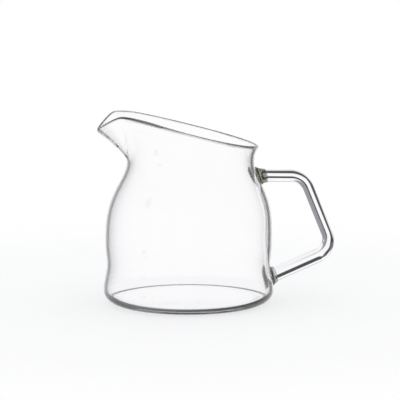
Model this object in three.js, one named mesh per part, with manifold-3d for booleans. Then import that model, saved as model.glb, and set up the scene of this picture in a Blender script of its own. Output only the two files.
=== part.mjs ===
// Glass creamer pitcher: a blown body with a slanted rim and a pulled spout, a handle bent from solid
// rod, and the two pads of glass that fuse the ends of the rod to the wall.
// Millimetres, +Z up. The pitcher stands on Z = 0 with its foot centred on the Z axis. The spout points
// to -X and the handle to +X, and both halves about the XZ plane are alike.

import * as THREE from 'three';
import { mergeVertices } from 'three/addons/utils/BufferGeometryUtils.js';
import Module from 'manifold-3d';

// Outside of the body, from the foot up: the radius at each level, and its rise from the level below
const footRadius = 29.5;
const heelRadius = 36;
const heelRise = 6;
const waistRadius = 34.6;
const waistRise = 10.4;
const bellyRadius = 35.25;
const bellyRise = 8.5;
const neckRadius = 26.9;
const neckRise = 35.1;
// The neck sits a little towards the handle, and the shoulder keeps its width before it draws in
const neckLean = 0.88;
const shoulderFullness = 1.8;

// Thickness of the glass, and the round where the floor meets the wall inside
const wallThickness = 1.5;
const floorThickness = 1.9;
const floorFillet = 5;

// Rim: the rise from the neck to the edge of the wall on the axis, the fall towards the handle in degrees,
// and how far the edge sags at both sides
const rimRise = 13.43;
const rimTilt = 15.33;
const rimSag = 0.51;
const lipRadius = 28.48;
const lipFlareHeight = 3;

// Spout, seen from above: straight edges run from the tip to two corners, then on as tangents to the lip
const spoutReach = 40.95;
const spoutCornerReach = 32.46;
const spoutCornerHalfWidth = 9.67;
const spoutTipRound = 1.6;
const spoutCornerRound = 1.1;
// The tip hangs below the slant of the rim, and the wall leaves the neck upright before it bends out
const spoutTipDrop = 6.88;
const spoutBendRise = 3.5;

// Handle: a straight run leaves each joint, and the grip joins the two runs through round bends. The rod was
// pulled thinner along the grip
const upperRodDiameter = 5.35;
const gripDiameter = 4.9;
const lowerRodDiameter = 6.2;
const upperJointHeight = 53.3;
const upperRunLength = 20.19;
const upperRunAngle = -2.3;
const upperBendRadius = 8.6;
const lowerJointHeight = 9.9;
const lowerRunLength = 29.4;
const lowerRunAngle = 22;
const lowerBendRadius = 7.25;

// Pads between the rod and the wall: the foot on the wall, the length, and the round collar that stands out
// from the rod. Each pad has a clearance at both of its seats
const upperPadDiameter = 8.4;
const upperPadLength = 3.8;
const upperPadCollar = 0.3;
const lowerPadDiameter = 10;
const lowerPadLength = 2.3;
const lowerPadCollar = 0.4;
const seatGap = 0.3;

// Fineness of the facets
const sectorCount = 64;
const spoutCrowding = 0.5;
const heelSteps = 4;
const waistSteps = 3;
const bellySteps = 3;
const shoulderSteps = 7;
const mouthSteps = 9;
const beadSteps = 4;
const filletSteps = 4;
const rodSides = 24;
const bendSteps = 14;
const padSides = 28;
const padSteps = 4;
const collarSteps = 4;

const waistHeight = heelRise + waistRise;
const bellyHeight = waistHeight + bellyRise;
const neckHeight = bellyHeight + neckRise;
const rimHeight = neckHeight + rimRise;

const lerp = THREE.MathUtils.lerp;
const degrees = THREE.MathUtils.degToRad;
const ease = (share) => THREE.MathUtils.smoothstep(share, 0, 1);

// The positive part of a value, and the lesser of two values, each rounded off over a stretch
const softPositive = (value, round) => (value + Math.hypot(value, round)) / 2;
const softMin = (first, second, round) => second - softPositive(second - first, round);

// Outside radius of the plain body at a height from the foot to the neck
function wallRadius(height) {
  if (height <= heelRise) {
    const below = 1 - height / heelRise;
    return lerp(footRadius, heelRadius, Math.sqrt(1 - below * below));
  }
  if (height <= waistHeight) {
    return lerp(heelRadius, waistRadius, ease((height - heelRise) / waistRise));
  }
  if (height <= bellyHeight) {
    return lerp(waistRadius, bellyRadius, ease((height - waistHeight) / bellyRise));
  }
  const share = Math.min((height - bellyHeight) / neckRise, 1);
  return lerp(bellyRadius, neckRadius, ease(share ** shoulderFullness));
}

// Shift of the body's centre towards the handle at a height
function wallShift(height) {
  return neckLean * ease((height - bellyHeight) / neckRise);
}

// Edge of the wall at an angle from the spout: its radius in plan and its height
function rimEdge(angle) {
  const turn = Math.abs(angle);
  const cornerRadius = Math.hypot(spoutCornerReach, spoutCornerHalfWidth);
  const cornerAngle = Math.atan2(spoutCornerHalfWidth, spoutCornerReach);
  const flankAngle = cornerAngle + Math.acos(lipRadius / cornerRadius);
  const edgeAngle = Math.atan2(spoutReach - spoutCornerReach, spoutCornerHalfWidth);
  const edgeDistance = spoutReach * Math.cos(edgeAngle);

  let radius = lipRadius;
  let drop = 0;
  if (turn < flankAngle) {
    const flank = lipRadius / Math.cos(flankAngle - turn);
    const roundedTurn = Math.hypot(turn, spoutTipRound / spoutReach);
    const edge = edgeDistance / Math.cos(roundedTurn - edgeAngle);
    const cornerFade = 1 - ease((turn - cornerAngle) / (flankAngle - cornerAngle));
    radius = lerp(flank, softMin(edge, flank, spoutCornerRound), cornerFade);
    const inward = 1 - (radius * Math.sin(turn)) / spoutCornerHalfWidth;
    drop = spoutTipDrop * cornerFade * softPositive(inward, spoutCornerRound / spoutCornerHalfWidth);
  }
  const slant = Math.tan(degrees(rimTilt)) * (neckRadius * Math.cos(angle) - neckLean);
  const sag = rimSag * Math.sin(angle) ** 2;
  return { radius, height: rimHeight + slant - sag - drop };
}

// Levels of the plain body, from the foot to the neck
function bodyLevels() {
  const levels = [];
  for (let step = 0; step <= heelSteps; step += 1) {
    levels.push(heelRise * (1 - Math.cos((Math.PI / 2) * (step / heelSteps))));
  }
  const bands = [
    [heelRise, waistRise, waistSteps],
    [waistHeight, bellyRise, bellySteps],
    [bellyHeight, neckRise, shoulderSteps],
  ];
  for (const [start, rise, steps] of bands) {
    for (let step = 1; step <= steps; step += 1) {
      levels.push(start + (rise * step) / steps);
    }
  }
  return levels;
}

// A point of the body at an angle from the spout
function bodyPoint(angle, radius, height) {
  return new THREE.Vector3(
    wallShift(height) - radius * Math.cos(angle),
    -radius * Math.sin(angle),
    height,
  );
}

// One outside line of the body, from the foot over the neck to the edge of the wall
function outsideLine(angle) {
  const line = bodyLevels().map((height) => bodyPoint(angle, wallRadius(height), height));
  const edge = rimEdge(angle);
  const rise = edge.height - neckHeight;
  const pull = (edge.radius - lipRadius) / (rimEdge(0).radius - lipRadius);
  const lipStart = rise - Math.min(lipFlareHeight, rise);
  const bend = lerp(lipStart, spoutBendRise, pull);
  const mouth = new THREE.CubicBezierCurve(
    new THREE.Vector2(neckRadius, neckHeight),
    new THREE.Vector2(neckRadius, neckHeight + bend / 2),
    new THREE.Vector2(neckRadius, neckHeight + bend),
    new THREE.Vector2(edge.radius, edge.height),
  );
  for (const point of mouth.getPoints(mouthSteps).slice(1)) {
    line.push(bodyPoint(angle, point.x, point.y));
  }
  return line;
}

// Outward normals and upward tangents along one outside line
function lineDirections(angle) {
  const smallTurn = 0.001;
  const before = outsideLine(angle - smallTurn);
  const after = outsideLine(angle + smallTurn);
  const line = outsideLine(angle);
  return line.map((point, index) => {
    const lower = line[Math.max(index - 1, 0)];
    const upper = line[Math.min(index + 1, line.length - 1)];
    const along = upper.clone().sub(lower).normalize();
    const around = after[index].clone().sub(before[index]);
    const normal = around.cross(along).normalize();
    return { normal, along };
  });
}

// Angles of the sectors, closer together round the spout
function sectorAngles() {
  const angles = [];
  for (let sector = 0; sector < sectorCount; sector += 1) {
    const even = Math.PI * ((2 * sector) / sectorCount - 1);
    angles.push(even - spoutCrowding * Math.sin(even));
  }
  return angles;
}

// A closed surface over lines that all run from one end point to the other
function closeOver(lines, startPoint, endPoint) {
  const ringCount = lines[0].length;
  const lineCount = lines.length;
  const points = [...lines.flat(), startPoint, endPoint];
  const start = points.length - 2;
  const end = points.length - 1;
  const triangles = [];
  for (let line = 0; line < lineCount; line += 1) {
    const here = line * ringCount;
    const next = ((line + 1) % lineCount) * ringCount;
    triangles.push(start, next, here);
    for (let ring = 0; ring < ringCount - 1; ring += 1) {
      triangles.push(here + ring, next + ring, next + ring + 1);
      triangles.push(here + ring, next + ring + 1, here + ring + 1);
    }
    triangles.push(here + ringCount - 1, next + ringCount - 1, end);
  }
  const geometry = new THREE.BufferGeometry().setFromPoints(points);
  geometry.setIndex(triangles);
  return geometry;
}

// The body's glass: up the outside, over the round edge and down the inside to the floor
function bodyGeometry() {
  const lines = sectorAngles().map((angle) => {
    const outside = outsideLine(angle);
    const directions = lineDirections(angle);
    const line = [...outside];

    const edge = outside[outside.length - 1];
    const { normal, along } = directions[directions.length - 1];
    const beadRadius = wallThickness / 2;
    const beadCentre = edge.clone().addScaledVector(normal, -beadRadius);
    for (let step = 1; step < beadSteps; step += 1) {
      const turn = (Math.PI * step) / beadSteps;
      const point = beadCentre.clone();
      point.addScaledVector(normal, beadRadius * Math.cos(turn));
      point.addScaledVector(along, beadRadius * Math.sin(turn));
      line.push(point);
    }

    for (let ring = outside.length - 1; ring >= heelSteps; ring -= 1) {
      line.push(outside[ring].clone().addScaledVector(directions[ring].normal, -wallThickness));
    }

    const insideRadius = heelRadius - wallThickness;
    for (let step = 1; step <= filletSteps; step += 1) {
      const turn = ((Math.PI / 2) * step) / filletSteps;
      const radius = insideRadius - floorFillet * (1 - Math.cos(turn));
      const height = lerp(heelRise, floorThickness, Math.sin(turn));
      line.push(bodyPoint(angle, radius, height));
    }
    return line;
  });
  return closeOver(lines, new THREE.Vector3(0, 0, 0), new THREE.Vector3(0, 0, floorThickness));
}

// The space the body takes up as one solid, grown by a clearance
function bodyEnvelope(clearance) {
  const lines = sectorAngles().map((angle) => {
    const directions = lineDirections(angle);
    const line = outsideLine(angle);
    return line.map((point, ring) => point.addScaledVector(directions[ring].normal, clearance));
  });
  return closeOver(lines, new THREE.Vector3(0, 0, 0), new THREE.Vector3(0, 0, rimHeight));
}

// Where the axis of the rod meets the wall, the direction in which it leaves, and the direction of the pad's
// flat end, half way between the rod's direction and the wall's own
function jointAt(height, runAngle, padLength) {
  const smallRise = 0.001;
  const reachAt = (level) => wallRadius(level) + wallShift(level);
  const wallAngle = Math.atan2(reachAt(height - smallRise) - reachAt(height + smallRise), 2 * smallRise);
  const directionAt = (angle) => new THREE.Vector2(Math.cos(angle), Math.sin(angle));
  return {
    point: new THREE.Vector2(reachAt(height), height),
    direction: directionAt(degrees(runAngle)),
    padDirection: directionAt((degrees(runAngle) + wallAngle) / 2),
    padLength,
  };
}

// A round bend between two straight runs that would meet at a corner
function bendCurve(before, corner, after, bendRadius) {
  const back = before.clone().sub(corner).normalize();
  const ahead = after.clone().sub(corner).normalize();
  const halfAngle = Math.acos(back.dot(ahead)) / 2;
  const tangentLength = bendRadius / Math.tan(halfAngle);
  const middle = back.clone().add(ahead).normalize();
  const centre = corner.clone().addScaledVector(middle, bendRadius / Math.sin(halfAngle));
  const start = corner.clone().addScaledVector(back, tangentLength).sub(centre).angle();
  const finish = corner.clone().addScaledVector(ahead, tangentLength).sub(centre).angle();
  return new THREE.EllipseCurve(centre.x, centre.y, bendRadius, bendRadius, start, finish, true);
}

// The corner of a rod's end at an offset from its axis, where the rod meets the flat end of its pad
function seatCorner(joint, offset) {
  const depth = joint.padLength + seatGap - offset.dot(joint.padDirection);
  const slide = depth / joint.direction.dot(joint.padDirection);
  return joint.point.clone().add(offset).addScaledVector(joint.direction, slide);
}

// The handle: round rod from the upper pad, round both bends, to the lower pad, thinner along the grip
function rodGeometry(upper, lower) {
  const upperCorner = upper.point.clone().addScaledVector(upper.direction, upperRunLength);
  const lowerCorner = lower.point.clone().addScaledVector(lower.direction, lowerRunLength);
  const bends = [
    [bendCurve(upper.point, upperCorner, lowerCorner, upperBendRadius), upperRodDiameter, gripDiameter],
    [bendCurve(upperCorner, lowerCorner, lower.point, lowerBendRadius), gripDiameter, lowerRodDiameter],
  ];
  const stations = [];
  for (const [bend, firstDiameter, lastDiameter] of bends) {
    for (let step = 0; step <= bendSteps; step += 1) {
      const share = step / bendSteps;
      const radius = lerp(firstDiameter, lastDiameter, ease(share)) / 2;
      stations.push({ point: bend.getPoint(share), tangent: bend.getTangent(share), radius });
    }
  }

  const sideOffset = (tangent, distance) => (
    new THREE.Vector2(-tangent.y, tangent.x).multiplyScalar(distance)
  );
  const lines = [];
  for (let side = 0; side < rodSides; side += 1) {
    const turn = (2 * Math.PI * side) / rodSides;
    const place = (point, radius) => new THREE.Vector3(point.x, -radius * Math.sin(turn), point.y);
    const line = stations.map(({ point, tangent, radius }) => (
      place(point.clone().add(sideOffset(tangent, radius * Math.cos(turn))), radius)
    ));
    const upperOffset = sideOffset(upper.direction, (upperRodDiameter / 2) * Math.cos(turn));
    const lowerOffset = sideOffset(lower.direction, (-lowerRodDiameter / 2) * Math.cos(turn));
    line.unshift(place(seatCorner(upper, upperOffset), upperRodDiameter / 2));
    line.push(place(seatCorner(lower, lowerOffset), lowerRodDiameter / 2));
    lines.push(line);
  }
  const axis = new THREE.Vector2();
  const upperEnd = seatCorner(upper, axis);
  const lowerEnd = seatCorner(lower, axis);
  return closeOver(
    lines,
    new THREE.Vector3(upperEnd.x, 0, upperEnd.y),
    new THREE.Vector3(lowerEnd.x, 0, lowerEnd.y),
  );
}

const wasm = await Module();
wasm.setup();

// A closed solid for cutting, and a surface back from one
function toSolid(geometry) {
  const bare = geometry.clone();
  bare.deleteAttribute('normal');
  bare.deleteAttribute('uv');
  const merged = mergeVertices(bare);
  return new wasm.Manifold(new wasm.Mesh({
    numProp: 3,
    vertProperties: new Float32Array(merged.attributes.position.array),
    triVerts: new Uint32Array(merged.index.array),
  }));
}

function toGeometry(solid) {
  const mesh = solid.getMesh();
  const geometry = new THREE.BufferGeometry();
  geometry.setAttribute('position', new THREE.BufferAttribute(mesh.vertProperties, 3));
  geometry.setIndex(new THREE.BufferAttribute(mesh.triVerts, 1));
  return geometry;
}

// A pad: a flared foot along the axis of the rod, cut to the wall, with a round collar at its flat end
function padGeometry(joint, diameter, collar, rodDiameter, envelope) {
  const endRadius = rodDiameter / 2 + collar;
  const flare = diameter / 2 - endRadius;
  const root = -diameter / 2;
  const collarStart = joint.padLength - collar;
  const profile = [new THREE.Vector2(0, root), new THREE.Vector2(diameter / 2, root)];
  for (let step = 0; step <= padSteps; step += 1) {
    const share = step / padSteps;
    profile.push(new THREE.Vector2(endRadius + flare * (1 - share) ** 2, collarStart * share));
  }
  for (let step = 1; step <= collarSteps; step += 1) {
    const turn = ((Math.PI / 2) * step) / collarSteps;
    const radius = endRadius - collar * (1 - Math.cos(turn));
    profile.push(new THREE.Vector2(radius, collarStart + collar * Math.sin(turn)));
  }
  profile.push(new THREE.Vector2(0, joint.padLength));
  const foot = new THREE.LatheGeometry(profile, padSides);
  const { direction, padDirection } = joint;
  const across = new THREE.Vector3(-padDirection.y, 0, padDirection.x);
  const along = new THREE.Vector3(direction.x, 0, direction.y).divideScalar(direction.dot(padDirection));
  foot.applyMatrix4(new THREE.Matrix4().makeBasis(across, along, new THREE.Vector3(0, 1, 0)));
  foot.translate(joint.point.x, 0, joint.point.y);
  return toGeometry(toSolid(foot).subtract(envelope));
}

const bodyGlass = new THREE.MeshStandardMaterial({
  color: 0xeef1f1,
  roughness: 0.05,
  metalness: 0,
  transparent: true,
  opacity: 0.3,
});
const rodGlass = new THREE.MeshStandardMaterial({
  color: 0xdfe3e3,
  roughness: 0.04,
  metalness: 0,
  transparent: true,
  opacity: 0.45,
});
const padGlass = new THREE.MeshStandardMaterial({
  color: 0xc9cdbd,
  roughness: 0.08,
  metalness: 0,
  transparent: true,
  opacity: 0.5,
});

function namedMesh(name, geometry, material) {
  const mesh = new THREE.Mesh(geometry, material);
  mesh.name = name;
  return mesh;
}

const upperJoint = jointAt(upperJointHeight, upperRunAngle, upperPadLength);
const lowerJoint = jointAt(lowerJointHeight, lowerRunAngle, lowerPadLength);
const envelope = toSolid(bodyEnvelope(seatGap));
const upperPad = padGeometry(upperJoint, upperPadDiameter, upperPadCollar, upperRodDiameter, envelope);
const lowerPad = padGeometry(lowerJoint, lowerPadDiameter, lowerPadCollar, lowerRodDiameter, envelope);

const handle = new THREE.Group();
handle.add(namedMesh('handle_rod', rodGeometry(upperJoint, lowerJoint), rodGlass));
handle.add(namedMesh('upper_handle_pad', upperPad, padGlass));
handle.add(namedMesh('lower_handle_pad', lowerPad, padGlass));

const pitcher = new THREE.Group();
pitcher.add(namedMesh('glass_body', bodyGeometry(), bodyGlass));
pitcher.add(handle);

export default pitcher;
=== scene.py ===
import math
from typing import NamedTuple

import bpy
from bpy.props import FloatProperty, FloatVectorProperty, PointerProperty
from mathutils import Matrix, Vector


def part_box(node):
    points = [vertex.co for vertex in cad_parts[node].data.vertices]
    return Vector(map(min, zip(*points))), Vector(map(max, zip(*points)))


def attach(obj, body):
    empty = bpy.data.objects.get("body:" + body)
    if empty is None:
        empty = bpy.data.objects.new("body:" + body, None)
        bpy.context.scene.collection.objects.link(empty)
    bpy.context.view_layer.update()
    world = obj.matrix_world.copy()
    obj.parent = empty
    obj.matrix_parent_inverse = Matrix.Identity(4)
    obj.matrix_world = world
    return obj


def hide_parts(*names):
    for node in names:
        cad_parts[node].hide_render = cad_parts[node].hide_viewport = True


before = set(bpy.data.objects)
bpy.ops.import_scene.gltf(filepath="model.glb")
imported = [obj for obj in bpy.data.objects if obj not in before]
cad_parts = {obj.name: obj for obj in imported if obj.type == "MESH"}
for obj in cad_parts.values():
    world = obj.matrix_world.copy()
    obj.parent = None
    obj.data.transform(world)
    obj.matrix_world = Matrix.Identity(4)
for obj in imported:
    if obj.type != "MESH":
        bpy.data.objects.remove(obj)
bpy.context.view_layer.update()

bl_info = {
    "name": "Glass creamer pitcher",
    "version": (1, 0, 0),
    "blender": (4, 5, 0),
    "location": "3D View > Sidebar > Pitcher",
    "description": "Clear glass pitcher with a pulled spout and a fused rod handle, and its studio",
    "category": "Object",
}

MM = 0.001
BODY = "root"
# How far a finished piece may depart from its solid's box
SEAT_TOLERANCE = 1.5 * MM

# Fineness of the glass body: steps round it, up each stretch of its wall, over its edge and round its
# floor, and how much the steps crowd towards the spout
SECTORS = 192
HEEL_STEPS = 10
WALL_STEPS = 64
MOUTH_STEPS = 34
WALL_RINGS = HEEL_STEPS + WALL_STEPS + MOUTH_STEPS
BEAD_STEPS = 12
FILLET_STEPS = 12
SPOUT_CROWDING = 0.5

# Fineness of the handle and its pads, how far a pad looks for the wall, and the rise over which the wall's
# lean is measured
ROD_SIDES = 48
BEND_STEPS = 28
PAD_SIDES = 72
PAD_SIDE_STEPS = 16
PAD_COLLAR_STEPS = 6
PAD_CAP_STEPS = 8
PAD_REACH = 40 * MM
SMALL_RISE = 0.001 * MM
# Points of a finished sheet that lie closer than this become one
MERGE_DISTANCE = 0.002 * MM

# Attribute of the faces that melt into another piece, and how deep such a face of the wall may lie
FUSED = "fused"
FUSED_DEPTH = 1.0 * MM
# Painted shade on the wall where a pad has melted on: how deep it reaches, the shares of the pad's foot
# where its core and the whole of it end and over which they fade, and how dark the whole, its streaks and
# its core are
FOOT_DEPTH = 4.0 * MM
CORE_END = 0.4
CORE_FADE = 0.3
FOOT_END = 0.85
FOOT_FADE = 0.15
FOOT_DARK = 0.5
FOOT_STREAKS = 0.2
CORE_DARK = 0.25
# Height where the tint of the lower joint ends, and the rise over which it turns into the upper one's
LOW_END = 20.0 * MM
LOW_EASE = 20.0 * MM
# Worn ring of the foot: the height where it starts to fade, the distance over which it fades, and its
# inner radius
WEAR_START = 0.1 * MM
WEAR_EASE = 0.4 * MM
WEAR_RADIUS = 28.0 * MM
# Noise of the ripples and the streaks: streaks are drawn out along the height and cut out of the noise
NOISE_ROUGHNESS = 0.4
RIPPLE_DETAIL = 1.0
STREAK_DETAIL = 2.0
STREAK_SQUASH = (1.0, 1.0, 0.15)
STREAK_START = 0.35
STREAK_EASE = 0.3
# Distance towards the spout over which the edge opens further
FRONT_REACH = 15.0 * MM
# Attributes of the wall's round edge, which takes a painted grey shade, of the rim beside the spout with the
# rows below it, of the spout's keel and of the plain wall below those rows
PAINTED_EDGE_SHADE = "edge"
RIM = "rim"
KEEL = "keel"
PLAIN = "plain"
# Half widths of the keel and the spout as turns in radians, the number of the rows below the edge, and how
# fast the edge's attribute grows over its round
KEEL_TURN = 0.16
SPOUT_TURN = 0.3
EDGE_ROWS = 2
EDGE_GROWTH = 2.0


class ShadePanel(NamedTuple):
    """A soft dark panel of the studio, in degrees to the left of the view and above the horizon."""

    left: float
    half_width: float
    side_edge: float
    rise: float
    half_height: float
    level_edge: float
    depth: float
    slope: float = 0.0


# Panels to the sides and the back, halfway between the usual views
SIDE_PANELS = (-146.0, -101.0, 79.0, 124.0, 169.0)
# Panels that light meets after the solid rod and the rim
SOLID_PANELS = (
    ShadePanel(42.0, 24.0, 6.0, -30.0, 18.0, 6.0, 0.97),
    ShadePanel(42.0, 24.0, 6.0, -4.0, 8.0, 6.0, 0.88),
    ShadePanel(-34.0, 22.0, 8.0, 2.0, 22.0, 10.0, 0.72),
    ShadePanel(6.0, 11.0, 5.0, -45.0, 19.0, 5.0, 0.97),
    ShadePanel(1.0, 9.0, 5.0, 2.0, 5.0, 2.5, 0.97, 0.9),
    ShadePanel(17.0, 6.0, 4.0, 4.0, 7.0, 4.0, 0.9),
    ShadePanel(-22.0, 8.0, 6.0, -60.0, 12.0, 8.0, 0.8),
    ShadePanel(12.0, 24.0, 8.0, 56.0, 12.0, 8.0, 0.5),
    *(ShadePanel(left, 5.0, 12.0, -10.0, 50.0, 10.0, 0.8) for left in SIDE_PANELS),
)
# Dark surround that light meets after a total reflection inside the wall: the bend of the light, in
# degrees, where it starts and over which it deepens, its depth on the left and on the right, and the
# degrees over which one depth turns into the other
SURROUND_START = 9.0
SURROUND_EDGE = 10.0
SURROUND_LEFT = 0.82
SURROUND_RIGHT = 1.0
SURROUND_SIDES = 50.0
# Where the dark surround ends towards the back, over how many degrees, and what is left of it there
SURROUND_END = 45.0
SURROUND_FALL = 25.0
SURROUND_REST = 0.5
# Panels that light meets after both walls
WALL_PANELS = (
    ShadePanel(28.0, 6.0, 20.0, 0.0, 90.0, 5.0, 0.45),
    ShadePanel(-28.0, 6.0, 20.0, 0.0, 90.0, 5.0, 0.45),
    ShadePanel(0.0, 180.0, 5.0, 55.0, 34.0, 8.0, 0.85),
    ShadePanel(0.0, 180.0, 5.0, -66.0, 26.0, 6.0, 0.85),
    *(ShadePanel(left, 2.0, 18.0, 0.0, 90.0, 5.0, 0.4) for left in SIDE_PANELS),
)
# Gap in the panels for both walls at the height where other views look straight through them, and windows
# at that height in the panels for the rod and the rim: places, half sizes and soft edge in degrees
GAP_RISE = -15.5
GAP_HALF_HEIGHT = 2.5
WINDOW_LEFT = 11.5
WINDOW_STEP = 45.0
WINDOW_HALF_WIDTH = 3.0
GAP_EDGE = 2.0
# Light that has crossed fewer faces of glass than this came through one wall or rod, and light that was
# mirrored more often than this was mirrored at all
ONE_PIECE_FACES = 2.5
MIRRORED_ONCE = 0.5
# How blue the half shades are
COOL_SHADE = 0.1
# Pale floor: its sides, its gap below the foot, its colour, the colour and share of its own glow, how far
# from the middle it starts to fade and over which distance, and the last two for light through the glass
FLOOR_SIDES = 96
FLOOR_GAP = 0.3 * MM
FLOOR_COLOUR = (0.92, 0.92, 0.92, 1.0)
GLOW_COLOUR = (0.985, 0.99, 1.0)
GLOW_SHARE = 0.7
FLOOR_END = 100.0 * MM
FLOOR_FADE = 150.0 * MM
GLASS_FLOOR_END = 55.0 * MM
GLASS_FLOOR_FADE = 30.0 * MM
# How much darker the glow is through the glass
GLASS_FLOOR_SHADE = 0.05
# Painted contact shadow: a dark ring in the floor's glow under the heel, met by light through the glass: its
# radius, half width, soft edge and depth
CONTACT_RADIUS = 34.5 * MM
CONTACT_HALF_WIDTH = 0.8 * MM
CONTACT_EDGE = 1.0 * MM
CONTACT_DEPTH = 0.85


def length(name, description, millimetres):
    """A size that shows in the scene's units."""
    return FloatProperty(
        name=name, description=description, default=millimetres * MM, unit="LENGTH", precision=5
    )


def angle(name, description, degrees):
    """An angle that shows in degrees."""
    return FloatProperty(
        name=name, description=description, default=math.radians(degrees), subtype="ANGLE"
    )


def number(name, description, value):
    """A plain number."""
    return FloatProperty(name=name, description=description, default=value, precision=4)


def colour(name, description, value):
    """A colour in linear light."""
    return FloatVectorProperty(
        name=name, description=description, default=value, subtype="COLOR", size=3, min=0.0, max=1.0
    )


class PitcherBodySizes(bpy.types.PropertyGroup):
    """Sizes of the blown body."""

    foot_radius: length("Foot radius", "Flat underside that the pitcher stands on", 29.5)
    heel_radius: length("Heel radius", "Widest part, just above the foot", 36.0)
    heel_rise: length("Heel rise", "Height of the heel above the foot", 6.0)
    waist_radius: length("Waist radius", "Shallow waist above the heel", 34.6)
    waist_rise: length("Waist rise", "Height of the waist above the heel", 10.4)
    belly_radius: length("Belly radius", "Belly above the waist", 35.25)
    belly_rise: length("Belly rise", "Height of the belly above the waist", 8.5)
    neck_radius: length("Neck radius", "Narrowest part, below the rim", 26.9)
    neck_rise: length("Neck rise", "Height of the neck above the belly", 35.1)
    neck_lean: length("Neck lean", "Shift of the neck towards the handle", 0.88)
    shoulder_fullness: number("Shoulder fullness", "How long the shoulder keeps its width", 1.8)
    wall: length("Wall", "Thickness of the wall", 1.5)
    floor: length("Floor", "Thickness of the floor", 1.9)
    floor_fillet: length("Floor fillet", "Round where the floor meets the wall inside", 5.0)
    rim_rise: length("Rim rise", "Height of the wall's edge above the neck, on the axis", 13.43)
    rim_tilt: angle("Rim tilt", "Fall of the rim towards the handle", 15.33)
    rim_sag: length("Rim sag", "How far the edge sags at both sides", 0.51)
    lip_radius: length("Lip radius", "Radius of the round part of the rim", 28.48)
    lip_flare: length("Lip flare", "Height over which the lip turns out", 3.0)
    spout_reach: length("Spout reach", "Where the edges of the spout would meet", 40.95)
    corner_reach: length("Corner reach", "Distance of the spout's corners along the spout", 32.46)
    corner_half_width: length("Corner half width", "Distance of a spout corner from the middle", 9.67)
    tip_round: length("Tip round", "Rounding of the spout's tip", 1.6)
    corner_round: length("Corner round", "Rounding of the spout's corners", 1.1)
    tip_drop: length("Tip drop", "How far the tip hangs below the slant of the rim", 6.88)
    spout_bend: length("Spout bend", "Upright stretch of wall under the spout", 3.5)


class PitcherHandleSizes(bpy.types.PropertyGroup):
    """Sizes of the rod handle and its pads."""

    upper_rod: length("Upper rod radius", "Radius of the rod's upper run", 2.675)
    grip_rod: length("Grip radius", "Radius of the rod along the grip", 2.45)
    lower_rod: length("Lower rod radius", "Radius of the rod's lower run", 3.1)
    upper_joint: length("Upper joint", "Height of the rod's upper end on the wall", 53.3)
    upper_run: length("Upper run", "Length from the wall to the upper corner", 20.19)
    upper_angle: angle("Upper angle", "Rise of the upper run away from the wall", -2.3)
    upper_bend: length("Upper bend", "Radius of the upper bend", 8.6)
    lower_joint: length("Lower joint", "Height of the rod's lower end on the wall", 9.9)
    lower_run: length("Lower run", "Length from the wall to the lower corner", 29.4)
    lower_angle: angle("Lower angle", "Rise of the lower run away from the wall", 22.0)
    lower_bend: length("Lower bend", "Radius of the lower bend", 7.25)
    upper_pad: length("Upper pad radius", "Foot of the upper pad on the wall", 4.2)
    upper_pad_length: length("Upper pad length", "Thickness of the upper pad", 3.8)
    upper_collar: length("Upper collar", "How far the upper pad's end stands out round the rod", 0.3)
    lower_pad: length("Lower pad radius", "Foot of the lower pad on the wall", 5.0)
    lower_pad_length: length("Lower pad length", "Thickness of the lower pad", 2.3)
    lower_collar: length("Lower collar", "How far the lower pad's end stands out round the rod", 0.4)
    seat_gap: length("Seat gap", "Hair's breadth between the fused faces of two pieces", 0.02)


class PitcherGlassLooks(bpy.types.PropertyGroup):
    """Finish of the glass."""

    body_tint: colour("Body tint", "Colour of light through the body", (0.998, 0.998, 1.0))
    rod_tint: colour("Rod tint", "Colour of light through the rod", (0.985, 0.985, 0.995))
    pad_tint: colour("Pad tint", "Colour of light through the pads", (0.46, 0.47, 0.4))
    low_pad_tint: colour("Lower pad tint", "Colour of light through the lower pad", (0.68, 0.69, 0.65))
    # Painted shade: grey laid over the wall's round edge to draw the rim's dark line
    rim_painted_shade: colour("Edge tint", "Colour of light through the wall's round edge", (0.3, 0.3, 0.32))
    # Painted shade: near black, mixed over the wall where a pad's foot sits, for the dark that the foot
    # shows through the wall
    foot_painted_shade: colour("Foot tint", "Colour of the wall where a pad has melted on", (0.02, 0.02, 0.025))
    edge_open: number("Edge open", "Share of light that goes straight through the edge", 0.3)
    front_open: number("Front open", "The same, added towards the spout", 0.2)
    keel_open: number("Keel open", "Share of light that goes straight through the spout's keel", 0.24)
    refraction: number("Refraction", "Index of refraction of the glass", 1.47)
    waviness: length("Waviness", "Depth of the blown wall's ripples", 0.02)
    ripple_size: number("Ripple size", "Ripples for each metre", 55.0)
    streak_size: number("Streak size", "Streaks of denser glass for each metre", 140.0)
    streak_depth: number("Streak depth", "How many times denser the streaks are", 2.5)
    wear: number("Wear", "Roughness of the worn ring that the pitcher stands on", 0.2)
    softness: number("Softness", "Roughness of the blown wall, too slight to blur", 0.02)


class PitcherStage(bpy.types.PropertyGroup):
    """Camera, floor and light."""

    view_azimuth: angle("View azimuth", "Turn of the camera about the pitcher", -11.5)
    view_elevation: angle("View elevation", "Height of the camera above the horizon", 8.6)
    view_distance: FloatProperty(
        name="View distance", description="From the camera to its target", default=1.5, unit="LENGTH"
    )
    view_target: FloatVectorProperty(
        name="View target",
        description="Point in the middle of the picture",
        default=(4.75 * MM, -0.97 * MM, 43.7 * MM),
        subtype="XYZ",
        unit="LENGTH",
        precision=5,
    )
    lens: FloatProperty(
        name="Lens", description="Focal length in millimetres", default=320.0, unit="CAMERA"
    )
    floor_radius: FloatProperty(
        name="Floor radius", description="Radius of the pale floor", default=0.6, unit="LENGTH"
    )


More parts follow.
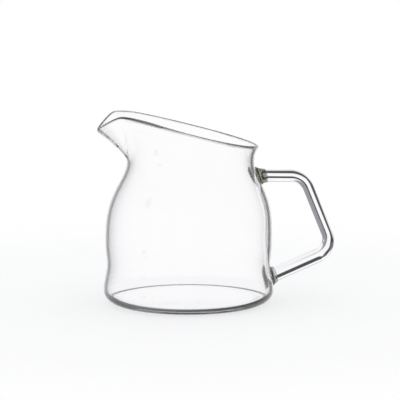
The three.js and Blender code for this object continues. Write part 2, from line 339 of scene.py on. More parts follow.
class Graph:
    """A node tree that nodes are added to."""

    def __init__(self, tree):
        self.tree = tree

    def node(self, kind, settings=None, inputs=None, output=0):
        """Adds a node, with its settings first and then its sockets' values or links; gives one output."""
        node = self.tree.nodes.new(kind)
        for name, value in (settings or {}).items():
            setattr(node, name, value)
        for key, value in (inputs or {}).items():
            self.plug(node.inputs[key], value)
        outputs = [socket for socket in node.outputs if socket.enabled]
        if not outputs:
            return None
        return Wire(self, node.outputs[output] if isinstance(output, str) else outputs[output])

    def plug(self, socket, value):
        """Links a wire to a socket, or sets the socket's own value."""
        if isinstance(value, Wire):
            self.tree.links.new(value.socket, socket)
        else:
            socket.default_value = value

    def vector(self, x=0.0, y=0.0, z=0.0):
        """A vector from its three parts."""
        return self.node("ShaderNodeCombineXYZ", None, {"X": x, "Y": y, "Z": z})

    def vector_math(self, operation, *parts, output=0):
        """A Vector Math node on vectors."""
        return self.node("ShaderNodeVectorMath", {"operation": operation}, dict(enumerate(parts)), output)

    def scaled(self, vector, factor):
        """A vector times a number."""
        return self.node("ShaderNodeVectorMath", {"operation": "SCALE"}, {0: vector, "Scale": factor})

    def dot(self, first, second):
        """The dot product of two vectors."""
        return self.vector_math("DOT_PRODUCT", first, second, output="Value")


class Wire:
    """A socket of a graph: Python operators on it add Math nodes."""

    def __init__(self, graph, socket):
        self.graph = graph
        self.socket = socket

    def math(self, operation, *others):
        """A Math node that starts with this value."""
        return self.graph.node("ShaderNodeMath", {"operation": operation}, dict(enumerate((self, *others))))

    def other(self, name):
        """Another output of the same node."""
        return Wire(self.graph, self.socket.node.outputs[name])

    def __add__(self, value):
        return self.math("ADD", value)

    __radd__ = __add__

    def __sub__(self, value):
        return self.math("SUBTRACT", value)

    def __rsub__(self, value):
        return self.graph.node("ShaderNodeMath", {"operation": "SUBTRACT"}, {0: value, 1: self})

    def __mul__(self, value):
        return self.math("MULTIPLY", value)

    __rmul__ = __mul__

    def __truediv__(self, value):
        return self.math("DIVIDE", value)

    def __rtruediv__(self, value):
        return self.graph.node("ShaderNodeMath", {"operation": "DIVIDE"}, {0: value, 1: self})

    def __pow__(self, value):
        return self.math("POWER", value)

    def __lt__(self, value):
        return self.math("LESS_THAN", value)

    def __gt__(self, value):
        return self.math("GREATER_THAN", value)

    def least(self, value):
        """The lesser of two values."""
        return self.math("MINIMUM", value)

    def most(self, value):
        """The greater of two values."""
        return self.math("MAXIMUM", value)

    def share(self):
        """The value held between 0 and 1."""
        return self.most(0.0).least(1.0)

    def ease(self):
        """The value held between 0 and 1, with soft ends."""
        share = self.share()
        return share * share * (3.0 - 2.0 * share)

    def sine(self):
        return self.math("SINE")

    def cosine(self):
        return self.math("COSINE")


def blend(start, end, share):
    """A value part of the way from start to end."""
    return start + (end - start) * share


def hypotenuse(first, second):
    """The long side of a right triangle."""
    return (first * first + second * second).math("SQRT")


def soft_positive(value, rounding):
    """The positive part of a value, rounded off."""
    return (value + hypotenuse(value, rounding)) * 0.5


def geometry_graph(name, inputs):
    """A geometry tree with named inputs and one geometry output, as a graph and its input wires."""
    tree = bpy.data.node_groups.new(name, "GeometryNodeTree")
    tree.is_modifier = True
    for label, kind in inputs.items():
        tree.interface.new_socket(label, in_out="INPUT", socket_type=kind)
    tree.interface.new_socket("Geometry", in_out="OUTPUT", socket_type="NodeSocketGeometry")
    graph = Graph(tree)
    entry = graph.node("NodeGroupInput")
    wires = {label: entry.other(label) for label in inputs}
    return graph, wires


def close_tree(graph, geometry, material):
    """Ends a geometry tree: one smooth plain mesh with its material."""
    smooth = graph.node("GeometryNodeSetShadeSmooth", None, {"Geometry": geometry})
    real = graph.node("GeometryNodeRealizeInstances", None, {"Geometry": smooth})
    painted = graph.node("GeometryNodeSetMaterial", None, {"Geometry": real, "Material": material})
    graph.node("NodeGroupOutput", None, {"Geometry": painted})


def grid_graph(graph, columns, rows):
    """A grid of points with the column and row of each."""
    grid = graph.node(
        "GeometryNodeMeshGrid",
        None,
        {"Size X": 1.0, "Size Y": 1.0, "Vertices X": columns, "Vertices Y": rows},
        "Mesh",
    )
    index = graph.node("GeometryNodeInputIndex")
    column = ((index + 0.5) / rows).math("FLOOR")
    return grid, column, index - column * rows


def make_piece(name, graph, values):
    """Runs a geometry tree with its input values and keeps the result as a plain mesh object."""
    piece = bpy.data.objects.new(name, bpy.data.meshes.new(name))
    bpy.context.scene.collection.objects.link(piece)
    modifier = piece.modifiers.new(name, "NODES")
    modifier.node_group = graph.tree
    for item in graph.tree.interface.items_tree:
        if item.in_out == "INPUT":
            modifier[item.identifier] = values[item.name]
    depsgraph = bpy.context.evaluated_depsgraph_get()
    mesh = bpy.data.meshes.new_from_object(piece.evaluated_get(depsgraph))
    piece.modifiers.clear()
    piece.data = mesh
    mesh.name = name
    if len(mesh.polygons) == 0:
        raise RuntimeError(f"{name} came out empty")
    return piece


def seat_piece(piece, node):
    """Puts a finished piece in the place of its solid, and tests that the two fill the same box."""
    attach(piece, BODY)
    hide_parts(node)
    low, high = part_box(node)
    corners = [Vector(corner) for corner in piece.bound_box]
    for axis in range(3):
        least = min(corner[axis] for corner in corners)
        most = max(corner[axis] for corner in corners)
        if max(abs(least - low[axis]), abs(most - high[axis])) > SEAT_TOLERANCE:
            raise RuntimeError(f"{piece.name} doesn't fit its solid along axis {axis}")


def marked(graph, mesh, name, value, domain):
    """Stores a value on the points or faces of a mesh for its material."""
    return graph.node(
        "GeometryNodeStoreNamedAttribute",
        {"data_type": "FLOAT", "domain": domain},
        {"Geometry": mesh, "Name": name, "Value": value},
    )


BODY_INPUTS = {name: "NodeSocketFloat" for name in PitcherBodySizes.__annotations__}


def rim_radius(size, turn):
    """Radius of the rim in plan at a turn from the spout, the spout's share in it and the turn inside it."""
    corner_radius = hypotenuse(size["corner_reach"], size["corner_half_width"])
    corner_turn = size["corner_half_width"].math("ARCTAN2", size["corner_reach"])
    flank_turn = corner_turn + (size["lip_radius"] / corner_radius).math("ARCCOSINE")
    edge_turn = (size["spout_reach"] - size["corner_reach"]).math("ARCTAN2", size["corner_half_width"])
    near = flank_turn.least(turn)
    flank = size["lip_radius"] / (flank_turn - near).cosine()
    rounded = hypotenuse(near, size["tip_round"] / size["spout_reach"])
    edge = size["spout_reach"] * edge_turn.cosine() / (rounded - edge_turn).cosine()
    fade = 1.0 - ((near - corner_turn) / (flank_turn - corner_turn)).ease()
    lesser = flank - soft_positive(flank - edge, size["corner_round"])
    return blend(flank, lesser, fade), fade, near


def outside_surface(graph, size):
    """The outside of the body as an open sheet, from the foot to a little past the edge of the wall."""
    rows = WALL_RINGS + 2
    grid, column, ring = grid_graph(graph, SECTORS + 3, rows)
    even = (column - 1.0) * (2.0 * math.pi / SECTORS) - math.pi
    turned = even - even.sine() * SPOUT_CROWDING
    turn = turned.math("ABSOLUTE")

    waist_height = size["heel_rise"] + size["waist_rise"]
    belly_height = waist_height + size["belly_rise"]
    neck_height = belly_height + size["neck_rise"]

    quarter = (ring / HEEL_STEPS).share() * (math.pi / 2.0)
    wall_share = ((ring - HEEL_STEPS) / WALL_STEPS).share()
    low = size["heel_rise"] * (1.0 - quarter.cosine()) + (neck_height - size["heel_rise"]) * wall_share
    waist_share = ((low - size["heel_rise"]) / size["waist_rise"]).ease()
    belly_share = ((low - waist_height) / size["belly_rise"]).ease()
    neck_share = ((low - belly_height) / size["neck_rise"]).share()
    plain = blend(size["heel_radius"], size["waist_radius"], waist_share)
    plain = plain + (size["belly_radius"] - size["waist_radius"]) * belly_share
    shoulder_share = (neck_share ** size["shoulder_fullness"]).ease()
    plain = plain + (size["neck_radius"] - size["belly_radius"]) * shoulder_share
    plain = plain - (size["heel_radius"] - size["foot_radius"]) * (1.0 - quarter.sine())

    edge_radius, fade, near = rim_radius(size, turn)
    inward = 1.0 - edge_radius * near.sine() / size["corner_half_width"]
    hang = soft_positive(inward, size["corner_round"] / size["corner_half_width"])
    slant = size["rim_tilt"].math("TANGENT") * (size["neck_radius"] * turned.cosine() - size["neck_lean"])
    sag = size["rim_sag"] * turned.sine() * turned.sine()
    rise = size["rim_rise"] + slant - sag - size["tip_drop"] * fade * hang

    tip_radius = rim_radius(size, 0.0)[0]
    pull = (edge_radius - size["lip_radius"]) / (tip_radius - size["lip_radius"])
    bend = blend(rise - size["lip_flare"].least(rise), size["spout_bend"], pull)
    # The mouth's wall is a Bezier curve that leaves the neck upright and ends at the edge
    along = ((ring - (HEEL_STEPS + WALL_STEPS)) / MOUTH_STEPS).most(0.0)
    early = 3.0 * along * (1.0 - along) * (1.0 - along)
    late = 3.0 * along * along * (1.0 - along)
    last = along * along * along
    height = low + bend * (early * 0.5 + late) + rise * last
    radius = plain + (edge_radius - size["neck_radius"]) * last

    shift = size["neck_lean"] * neck_share.ease()
    place = graph.vector(shift - radius * turned.cosine(), -1.0 * radius * turned.sine(), height)
    sheet = graph.node("GeometryNodeSetPosition", None, {"Geometry": grid, "Position": place})
    return sheet, rows


def body_graph(material):
    """The body: up the outside, over the round edge, down the inside and across the floor."""
    graph, size = geometry_graph("Pitcher body", BODY_INPUTS)
    sheet, sheet_rows = outside_surface(graph, size)

    inside_rings = WALL_RINGS - HEEL_STEPS
    edge_row = WALL_RINGS + 1
    inside_row = edge_row + BEAD_STEPS
    fillet_row = inside_row + inside_rings
    rows = fillet_row + FILLET_STEPS + 2
    grid, column, row = grid_graph(graph, SECTORS + 1, rows)

    ring = (row - 1.0).most(0.0).least(WALL_RINGS) - (row - inside_row).most(0.0).least(inside_rings)
    down = ((row - fillet_row) / FILLET_STEPS).share() * (math.pi / 2.0)
    spread = (row > 0.5) * (row < rows - 1.5)

    place = graph.node("GeometryNodeInputPosition")
    normal = graph.node("GeometryNodeInputNormal")
    found = (column + 1.0) * sheet_rows + ring

    def sample(value, index):
        return graph.node(
            "GeometryNodeSampleIndex",
            {"data_type": "FLOAT_VECTOR", "domain": "POINT"},
            {"Geometry": sheet, "Value": value, "Index": index},
        )

    outer = sample(place, found)
    upward = graph.vector_math("NORMALIZE", graph.vector_math("SUBTRACT", outer, sample(place, found - 1.0)))
    half = size["wall"] * 0.5
    over = ((row - edge_row) / BEAD_STEPS).share() * math.pi
    sunk = graph.scaled(sample(normal, found), half * (over.cosine() - 1.0))
    crest = graph.scaled(upward, half * over.sine())
    glass = graph.vector_math("ADD", graph.vector_math("ADD", outer, sunk), crest)

    outward = graph.vector_math("NORMALIZE", graph.vector_math("MULTIPLY", glass, (1.0, 1.0, 0.0)))
    tuck = graph.scaled(outward, size["floor_fillet"] * (down.cosine() - 1.0))
    drop = graph.vector(0.0, 0.0, (size["floor"] - size["heel_rise"]) * down.sine())
    glass = graph.vector_math("ADD", graph.vector_math("ADD", glass, tuck), drop)
    glass = graph.vector_math("MULTIPLY", glass, graph.vector(spread, spread, 1.0))

    shell = graph.node("GeometryNodeSetPosition", None, {"Geometry": grid, "Position": glass})
    even = column * (2.0 * math.pi / SECTORS) - math.pi
    turn = (even - even.sine() * SPOUT_CROWDING).math("ABSOLUTE")
    mouth = ((ring - (HEEL_STEPS + WALL_STEPS)) / MOUTH_STEPS).share()
    aside = ((turn - SPOUT_TURN) / SPOUT_TURN).ease()
    below = ((ring - (WALL_RINGS - EDGE_ROWS)) / EDGE_ROWS).share()
    crown = (over.sine() * EDGE_GROWTH).share()
    rim = crown.most(below)
    shell = marked(graph, shell, PAINTED_EDGE_SHADE, crown, "POINT")
    shell = marked(graph, shell, RIM, rim * aside, "POINT")
    shell = marked(graph, shell, PLAIN, 1.0 - rim, "POINT")
    shell = marked(graph, shell, KEEL, (1.0 - (turn / KEEL_TURN).ease()) * mouth, "POINT")
    joined = graph.node("GeometryNodeMergeByDistance", None, {"Geometry": shell, "Distance": MERGE_DISTANCE})
    close_tree(graph, joined, material)
    return graph


JOINT_INPUTS = {
    "seat": "NodeSocketVector",
    "way": "NodeSocketVector",
    "end": "NodeSocketVector",
    "length": "NodeSocketFloat",
    "gap": "NodeSocketFloat",
}
ROD_INPUTS = {
    **{f"upper {name}": kind for name, kind in JOINT_INPUTS.items()},
    **{f"lower {name}": kind for name, kind in JOINT_INPUTS.items()},
    "upper run": "NodeSocketFloat",
    "lower run": "NodeSocketFloat",
    "upper bend": "NodeSocketFloat",
    "lower bend": "NodeSocketFloat",
    "upper radius": "NodeSocketFloat",
    "grip radius": "NodeSocketFloat",
    "lower radius": "NodeSocketFloat",
}


def rod_graph(material):
    """The handle: three straight runs with two round bends, swept with a circle that narrows on the grip."""
    graph, size = geometry_graph("Handle rod", ROD_INPUTS)
    index = graph.node("GeometryNodeInputIndex")

    def corner(end):
        return graph.vector_math(
            "ADD", size[f"{end} seat"], graph.scaled(size[f"{end} way"], size[f"{end} run"])
        )

    loop = graph.node(
        "GeometryNodeCurvePrimitiveQuadrilateral",
        {"mode": "POINTS"},
        {
            "Point 1": size["upper seat"],
            "Point 2": corner("upper"),
            "Point 3": corner("lower"),
            "Point 4": size["lower seat"],
        },
    )
    path = graph.node("GeometryNodeSetSplineCyclic", None, {"Geometry": loop, "Cyclic": False})
    bend = blend(size["upper bend"], size["lower bend"], (index - 1.0).share())
    bent = graph.node(
        "GeometryNodeFilletCurve", {"mode": "POLY"}, {"Curve": path, "Count": BEND_STEPS, "Radius": bend}
    )
    upper_share = ((index - 1.0) / BEND_STEPS).ease()
    lower_share = ((index - (BEND_STEPS + 2.0)) / BEND_STEPS).ease()
    radius = blend(size["upper radius"], size["grip radius"], upper_share)
    radius = radius + (size["lower radius"] - size["grip radius"]) * lower_share
    circle = graph.node(
        "GeometryNodeCurvePrimitiveCircle",
        {"mode": "RADIUS"},
        {"Resolution": ROD_SIDES, "Radius": 1.0},
        "Curve",
    )
    rod = graph.node(
        "GeometryNodeCurveToMesh",
        None,
        {"Curve": bent, "Profile Curve": circle, "Scale": radius, "Fill Caps": True},
    )
    place = graph.node("GeometryNodeInputPosition")
    first_half = index < ROD_SIDES * (BEND_STEPS + 2.0)
    for end, chosen in (("upper", first_half), ("lower", 1.0 - first_half)):
        depth = graph.dot(graph.vector_math("SUBTRACT", place, size[f"{end} seat"]), size[f"{end} end"])
        short = (size[f"{end} length"] + size[f"{end} gap"] - depth).most(0.0)
        slide = short / graph.dot(size[f"{end} way"], size[f"{end} end"])
        rod = graph.node(
            "GeometryNodeSetPosition",
            None,
            {"Geometry": rod, "Selection": chosen, "Offset": graph.scaled(size[f"{end} way"], slide)},
        )
    # The rod's fused ends are its only faces with more than four sides
    sides = graph.node("GeometryNodeInputMeshFaceNeighbors", None, None, "Vertex Count")
    close_tree(graph, marked(graph, rod, FUSED, sides > 4.5, "FACE"), material)
    return graph


PAD_INPUTS = {
    "Wall": "NodeSocketObject",
    **JOINT_INPUTS,
    "rod": "NodeSocketFloat",
    "collar": "NodeSocketFloat",
    "foot": "NodeSocketFloat",
}


def pad_graph(name, material):
    """A pad: a flat end towards the rod with a round collar, flaring sides, and a foot on the wall."""
    graph, size = geometry_graph(name, PAD_INPUTS)
    collar_row = PAD_CAP_STEPS
    side_row = collar_row + PAD_COLLAR_STEPS
    foot_row = side_row + PAD_SIDE_STEPS
    rows = foot_row + PAD_CAP_STEPS + 1
    grid, column, row = grid_graph(graph, PAD_SIDES + 1, rows)
    turn = column * (2.0 * math.pi / PAD_SIDES)
    cap = (row / PAD_CAP_STEPS).share()
    round_off = ((row - collar_row) / PAD_COLLAR_STEPS).share() * (math.pi / 2.0)
    side = ((row - side_row) / PAD_SIDE_STEPS).share()
    foot = ((row - foot_row) / PAD_CAP_STEPS).share()
    flare = size["foot"] - size["rod"] - size["collar"]
    radius = size["rod"] * cap + size["collar"] * round_off.sine() + flare * side * side
    radius = radius * (1.0 - foot)

    level = (0.0, 1.0, 0.0)
    across = graph.vector_math("CROSS_PRODUCT", level, size["end"])
    spoke = graph.vector_math(
        "ADD",
        graph.scaled(level, radius * turn.cosine()),
        graph.scaled(across, radius * turn.sine()),
    )
    depth = size["length"] - size["collar"] * (1.0 - round_off.cosine())
    along = graph.scaled(size["way"], depth / graph.dot(size["way"], size["end"]))
    start = graph.vector_math("ADD", graph.vector_math("ADD", size["seat"], along), spoke)
    wall = graph.node(
        "GeometryNodeObjectInfo", {"transform_space": "ORIGINAL"}, {"Object": size["Wall"]}, "Geometry"
    )
    fall = graph.node(
        "GeometryNodeRaycast",
        None,
        {
            "Target Geometry": wall,
            "Source Position": start,
            "Ray Direction": graph.scaled(size["way"], -1.0),
            "Ray Length": PAD_REACH,
        },
        "Hit Distance",
    )
    place = graph.vector_math("SUBTRACT", start, graph.scaled(size["way"], (fall - size["gap"]) * side))
    pad = graph.node("GeometryNodeSetPosition", None, {"Geometry": grid, "Position": place})
    index = graph.node("GeometryNodeInputIndex")
    face_row = index - ((index + 0.5) / (rows - 1.0)).math("FLOOR") * (rows - 1.0)
    fused = (face_row < collar_row - 0.5) + (face_row > foot_row - 0.5)
    pad = marked(graph, pad, FUSED, fused, "FACE")
    joined = graph.node("GeometryNodeMergeByDistance", None, {"Geometry": pad, "Distance": MERGE_DISTANCE})
    close_tree(graph, joined, material)
    return graph


def glass_material(name, looks, tint, low_tint, joints=()):
    """Clear hot-worked glass with faint ripples, open where it melts into a piece, with painted shade dark
    under a pad and grey on the round edge.
    """
    material = bpy.data.materials.new(name)
    material.use_nodes = True
    tree = material.node_tree
    tree.nodes.clear()
    graph = Graph(tree)
    place = graph.node("ShaderNodeTexCoord", None, None, "Object")

    def noise(vector, scale, detail):
        return graph.node(
            "ShaderNodeTexNoise",
            None,
            {"Vector": vector, "Scale": scale, "Detail": detail, "Roughness": NOISE_ROUGHNESS},
        )

    def tinted(start, end, share):
        return graph.node(
            "ShaderNodeMix", {"data_type": "RGBA"}, {"Factor": share, "A": start, "B": end}, "Result"
        )

    def attribute(label):
        return graph.node("ShaderNodeAttribute", {"attribute_name": label}, None, "Fac")

    ripple = noise(place, looks.ripple_size, RIPPLE_DETAIL)
    bump = graph.node(
        "ShaderNodeBump", None, {"Strength": 1.0, "Distance": looks.waviness, "Height": ripple}
    )
    drawn_out = graph.vector_math("MULTIPLY", place, STREAK_SQUASH)
    streaks = noise(drawn_out, looks.streak_size, STREAK_DETAIL)
    streaks = ((streaks - STREAK_START) / STREAK_EASE).ease()
    fused = attribute(FUSED)
    # Painted shade under each pad's foot, darkest at its core and streaked
    foot_shade_share = 0.0
    for joint, foot in joints:
        offset = graph.vector_math("SUBTRACT", place, tuple(joint.seat))
        ahead = graph.dot(offset, tuple(joint.end)) / joint.way.dot(joint.end)
        slid = graph.scaled(tuple(joint.way), ahead)
        spread = graph.vector_math("DISTANCE", offset, slid, output="Value")
        depth = graph.dot(offset, tuple(joint.wall))
        fused = fused + (spread < foot) * (depth > -FUSED_DEPTH)
        core = 1.0 - ((spread / foot - CORE_END) / CORE_FADE).ease()
        whole = 1.0 - ((spread / foot - FOOT_END) / FOOT_FADE).ease()
        dark_share = FOOT_DARK + FOOT_STREAKS * streaks + CORE_DARK * core
        foot_shade_share = foot_shade_share + whole * dark_share * (depth > -FOOT_DEPTH)

    def streaked(clear):
        deep = tuple(part ** looks.streak_depth for part in clear)
        return tinted((*clear, 1.0), (*deep, 1.0), streaks)

    height = graph.node("ShaderNodeSeparateXYZ", None, {"Vector": place}, "Z")
    glass = tinted(streaked(low_tint), streaked(tint), ((height - LOW_END) / LOW_EASE).ease())
    # Painted shade: the round edge is tinted grey to draw the rim's dark line
    glass = tinted(glass, (*looks.rim_painted_shade, 1.0), attribute(PAINTED_EDGE_SHADE))
    out = hypotenuse(height.other("X"), height.other("Y"))
    worn = (1.0 - ((height - WEAR_START) / WEAR_EASE).ease()) * ((out - WEAR_RADIUS) / WEAR_EASE).ease()
    open_edge = looks.edge_open + looks.front_open * (height.other("X") / -FRONT_REACH).share()
    open_share = (attribute(RIM) * open_edge).most(attribute(KEEL) * looks.keel_open)
    shader = graph.node(
        "ShaderNodeBsdfPrincipled",
        None,
        {
            "Base Color": glass,
            "Roughness": looks.wear * worn * streaks + looks.softness * attribute(PLAIN),
            "IOR": looks.refraction,
            "Transmission Weight": 1.0,
            "Normal": bump,
            "Alpha": 1.0 - fused - open_share,
        },
    )
    # Painted shade: a near-black matt surface mixed in under the pads' feet
    if joints:
        dark = graph.node("ShaderNodeBsdfDiffuse", None, {"Color": (*looks.foot_painted_shade, 1.0)})
        shader = graph.node("ShaderNodeMixShader", None, {0: foot_shade_share.share(), 1: shader, 2: dark})
    graph.node("ShaderNodeOutputMaterial", None, {"Surface": shader})
    return material


def wall_radius(body, height):
    """Distance of the wall's outside from the foot's axis at a height, on the handle's side."""

    def ease(share):
        share = min(max(share, 0.0), 1.0)
        return share * share * (3.0 - 2.0 * share)

    waist_height = body.heel_rise + body.waist_rise
    belly_height = waist_height + body.belly_rise
    neck_share = min(max((height - belly_height) / body.neck_rise, 0.0), 1.0)
    radius = body.heel_radius
    radius += (body.waist_radius - body.heel_radius) * ease((height - body.heel_rise) / body.waist_rise)
    radius += (body.belly_radius - body.waist_radius) * ease((height - waist_height) / body.belly_rise)
    radius += (body.neck_radius - body.belly_radius) * ease(neck_share ** body.shoulder_fullness)
    return radius + body.neck_lean * ease(neck_share)


class Joint:
    """Where an end of the rod meets the wall, and the ways that the rod, the wall and the pad's end face."""

    def __init__(self, body, height, rise):
        lean = math.atan2(
            wall_radius(body, height - SMALL_RISE) - wall_radius(body, height + SMALL_RISE), 2.0 * SMALL_RISE
        )
        self.seat = Vector((wall_radius(body, height), 0.0, height))
        self.way = Vector((math.cos(rise), 0.0, math.sin(rise)))
        self.wall = Vector((math.cos(lean), 0.0, math.sin(lean)))
        self.end = (self.way + self.wall).normalized()


def pitcher_joints(scene):
    """The upper and the lower joint of the handle."""
    body = scene.pitcher_body
    handle = scene.pitcher_handle
    return {
        "upper": Joint(body, handle.upper_joint, handle.upper_angle),
        "lower": Joint(body, handle.lower_joint, handle.lower_angle),
    }


def joint_values(joint, pad_length, gap):
    """The values of a joint for a geometry tree."""
    return {"seat": joint.seat, "way": joint.way, "end": joint.end, "length": pad_length, "gap": gap}


class PITCHER_OT_body(bpy.types.Operator):
    """Make the blown glass body"""

    bl_idname = "pitcher.body"
    bl_label = "Glass body"

    def execute(self, context):
        scene = context.scene
        body = scene.pitcher_body
        handle = scene.pitcher_handle
        looks = scene.pitcher_glass
        joints = pitcher_joints(scene)
        feet = [(joints["upper"], handle.upper_pad), (joints["lower"], handle.lower_pad)]
        glass = glass_material("body_glass", looks, looks.body_tint, looks.body_tint, feet)
        graph = body_graph(glass)
        piece = make_piece("pitcher_body", graph, {name: getattr(body, name) for name in BODY_INPUTS})
        seat_piece(piece, "glass_body")
        return {"FINISHED"}


class PITCHER_OT_handle(bpy.types.Operator):
    """Make the bent rod handle"""

    bl_idname = "pitcher.handle"
    bl_label = "Rod handle"

    def execute(self, context):
        scene = context.scene
        handle = scene.pitcher_handle
        values = {"grip radius": handle.grip_rod}
        for end, joint in pitcher_joints(scene).items():
            pad_length = getattr(handle, f"{end}_pad_length")
            for name, value in joint_values(joint, pad_length, handle.seat_gap).items():
                values[f"{end} {name}"] = value
            values[f"{end} run"] = getattr(handle, f"{end}_run")
            values[f"{end} bend"] = getattr(handle, f"{end}_bend")
            values[f"{end} radius"] = getattr(handle, f"{end}_rod")
        looks = scene.pitcher_glass
        glass = glass_material("rod_glass", looks, looks.rod_tint, looks.rod_tint)
        piece = make_piece("pitcher_handle", rod_graph(glass), values)
        seat_piece(piece, "handle_rod")
        return {"FINISHED"}


class PITCHER_OT_pads(bpy.types.Operator):
    """Make the two pads that fuse the handle to the wall"""

    bl_idname = "pitcher.pads"
    bl_label = "Handle pads"

    def execute(self, context):
        scene = context.scene
        handle = scene.pitcher_handle
        looks = scene.pitcher_glass
        glass = glass_material("pad_glass", looks, looks.pad_tint, looks.low_pad_tint)
        graph = pad_graph("Handle pad", glass)
        for end, joint in pitcher_joints(scene).items():
            values = joint_values(joint, getattr(handle, f"{end}_pad_length"), handle.seat_gap)
            values["Wall"] = bpy.data.objects["pitcher_body"]
            values["rod"] = getattr(handle, f"{end}_rod")
            values["collar"] = getattr(handle, f"{end}_collar")
            values["foot"] = getattr(handle, f"{end}_pad")
            piece = make_piece(f"{end}_pad", graph, values)
            seat_piece(piece, f"{end}_handle_pad")
        return {"FINISHED"}


def glass_path(graph):
    """Three marks of light: come through glass, through one wall or rod at most, and mirrored on its way."""
    path = graph.node("ShaderNodeLightPath", None, None, "Is Transmission Ray")
    one_piece = path.other("Transmission Depth") < ONE_PIECE_FACES
    mirrored = path.other("Glossy Depth") > MIRRORED_ONCE
    return path, one_piece, mirrored


def studio_world(azimuth, elevation):
    """White all round, with soft dark panels that only light bent by the glass can meet."""
    world = bpy.data.worlds.new("studio")
    bpy.context.scene.world = world
    world.use_nodes = True
    tree = world.node_tree
    tree.nodes.clear()
    graph = Graph(tree)
    way = graph.node("ShaderNodeTexCoord", None, None, "Generated")
    x = graph.node("ShaderNodeSeparateXYZ", None, {"Vector": way}, "X")
    path, one_piece, mirrored = glass_path(graph)
    left = (x * -1.0).math("ARCTAN2", x.other("Y")) * math.degrees(1.0) - math.degrees(azimuth)
    rise = x.other("Z").math("ARCSINE") * math.degrees(1.0)

    def light_past(panels):
        light = 1.0
        for panel in panels:
            beside = (left - panel.left).math("ABSOLUTE") - panel.half_width
            beyond = (rise - panel.rise - left * panel.slope).math("ABSOLUTE") - panel.half_height
            clear = (1.0 - (beside / panel.side_edge).ease()) * (1.0 - (beyond / panel.level_edge).ease())
            light = (1.0 - panel.depth * clear) * light
        return light

    bent = hypotenuse(left, rise + math.degrees(elevation))
    depth = blend(SURROUND_LEFT, SURROUND_RIGHT, (0.5 - left / SURROUND_SIDES).share())
    depth = depth * ((bent - SURROUND_START) / SURROUND_EDGE).ease()
    depth = depth * blend(1.0, SURROUND_REST, ((bent - SURROUND_END) / SURROUND_FALL).ease())

    gap = 1.0 - (((rise - GAP_RISE).math("ABSOLUTE") - GAP_HALF_HEIGHT) / GAP_EDGE).ease()
    beside = (left - WINDOW_LEFT).math("PINGPONG", WINDOW_STEP / 2.0)
    window = gap * (1.0 - ((beside - WINDOW_HALF_WIDTH) / GAP_EDGE).ease())
    past_walls = blend(light_past(WALL_PANELS), 1.0, gap)
    past_solid = blend(light_past(SOLID_PANELS), 1.0, window)
    # The slight softness of the plain wall tells one wall from the rod and the rim
    past_one = blend(1.0, past_solid, path.other("Is Singular Ray"))
    direct = blend(past_walls, past_one, one_piece)
    inside = blend(1.0, 1.0 - depth, one_piece)
    light = blend(1.0, blend(direct, inside, mirrored), path)
    shade = graph.vector(light, light, light + COOL_SHADE * light * (1.0 - light))
    back = graph.node("ShaderNodeBackground", None, {"Color": shade, "Strength": 1.0})
    graph.node("ShaderNodeOutputWorld", None, {"Surface": back})


def floor_material():
    """A pale floor that keeps the soft shadow near the pitcher, has a painted shadow ring under the heel for
    light through the glass, and fades into the white round it.
    """
    material = bpy.data.materials.new("pale_floor")
    material.use_nodes = True
    tree = material.node_tree
    tree.nodes.clear()
    graph = Graph(tree)
    place = graph.node("ShaderNodeTexCoord", None, None, "Object")
    distance = graph.vector_math("LENGTH", place, output="Value")
    path, one_piece, mirrored = glass_path(graph)
    wide = 1.0 - ((distance - FLOOR_END) / FLOOR_FADE).ease()
    close = 1.0 - ((distance - GLASS_FLOOR_END) / GLASS_FLOOR_FADE).ease()
    near = blend(wide, close * (1.0 - mirrored * one_piece), path)
    matt = graph.node("ShaderNodeBsdfDiffuse", None, {"Color": FLOOR_COLOUR})
    # Painted shadow: a dark ring under the heel, met only by light through the glass
    beside = ((distance - CONTACT_RADIUS).math("ABSOLUTE") - CONTACT_HALF_WIDTH) / CONTACT_EDGE
    painted_contact_shadow = CONTACT_DEPTH * path * (1.0 - mirrored) * (1.0 - beside.ease())
    glow = graph.scaled(GLOW_COLOUR, 1.0 - painted_contact_shadow - GLASS_FLOOR_SHADE * path)
    white = graph.node("ShaderNodeEmission", None, {"Color": glow})
    lit = graph.node("ShaderNodeMixShader", None, {0: blend(GLOW_SHARE, 1.0, path), 1: matt, 2: white})
    clear = graph.node("ShaderNodeBsdfTransparent")
    shader = graph.node("ShaderNodeMixShader", None, {0: near, 1: clear, 2: lit})
    graph.node("ShaderNodeOutputMaterial", None, {"Surface": shader})
    return material


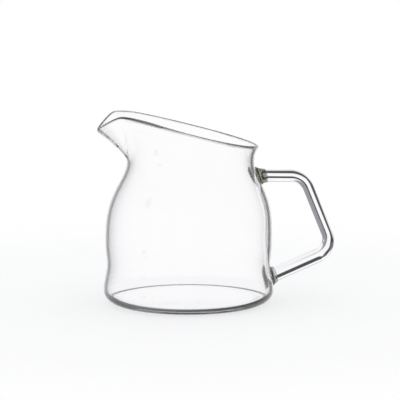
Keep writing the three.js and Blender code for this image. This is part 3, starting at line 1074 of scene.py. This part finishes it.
class PITCHER_OT_stage(bpy.types.Operator):
    """Make the floor, the light and the camera"""

    bl_idname = "pitcher.stage"
    bl_label = "Stage"

    def execute(self, context):
        scene = context.scene
        stage = scene.pitcher_stage
        bpy.ops.mesh.primitive_circle_add(
            vertices=FLOOR_SIDES,
            radius=stage.floor_radius,
            fill_type="NGON",
            location=(0.0, 0.0, -FLOOR_GAP),
        )
        floor = context.object
        floor.name = "pale_floor"
        floor.data.materials.append(floor_material())
        studio_world(stage.view_azimuth, stage.view_elevation)

        back = Vector((
            math.sin(stage.view_azimuth) * math.cos(stage.view_elevation),
            -math.cos(stage.view_azimuth) * math.cos(stage.view_elevation),
            math.sin(stage.view_elevation),
        ))
        camera = bpy.data.objects.new("camera", bpy.data.cameras.new("camera"))
        scene.collection.objects.link(camera)
        camera.data.lens = stage.lens
        camera.location = Vector(stage.view_target) + back * stage.view_distance
        camera.rotation_euler = (-back).to_track_quat("-Z", "Y").to_euler()
        scene.camera = camera
        scene.view_settings.view_transform = "Standard"
        return {"FINISHED"}


class PITCHER_PT_panel(bpy.types.Panel):
    """The pitcher's sizes and steps"""

    bl_idname = "PITCHER_PT_panel"
    bl_label = "Glass creamer pitcher"
    bl_space_type = "VIEW_3D"
    bl_region_type = "UI"
    bl_category = "Pitcher"

    def draw(self, context):
        layout = self.layout
        for step in STEPS:
            layout.operator(step.bl_idname)
        for name, group in GROUPS.items():
            box = layout.box()
            for field in group.__annotations__:
                box.prop(getattr(context.scene, name), field)


GROUPS = {
    "pitcher_body": PitcherBodySizes,
    "pitcher_handle": PitcherHandleSizes,
    "pitcher_glass": PitcherGlassLooks,
    "pitcher_stage": PitcherStage,
}
STEPS = (PITCHER_OT_body, PITCHER_OT_handle, PITCHER_OT_pads, PITCHER_OT_stage)


def register():
    for group in GROUPS.values():
        bpy.utils.register_class(group)
    for name, group in GROUPS.items():
        setattr(bpy.types.Scene, name, PointerProperty(type=group))
    for item in (*STEPS, PITCHER_PT_panel):
        bpy.utils.register_class(item)


def unregister():
    for item in (PITCHER_PT_panel, *reversed(STEPS)):
        bpy.utils.unregister_class(item)
    for name in GROUPS:
        delattr(bpy.types.Scene, name)
    for group in GROUPS.values():
        bpy.utils.unregister_class(group)


def main():
    register()
    bpy.ops.pitcher.body()
    bpy.ops.pitcher.handle()
    bpy.ops.pitcher.pads()
    bpy.ops.pitcher.stage()


if __name__ == "__main__":
    main()
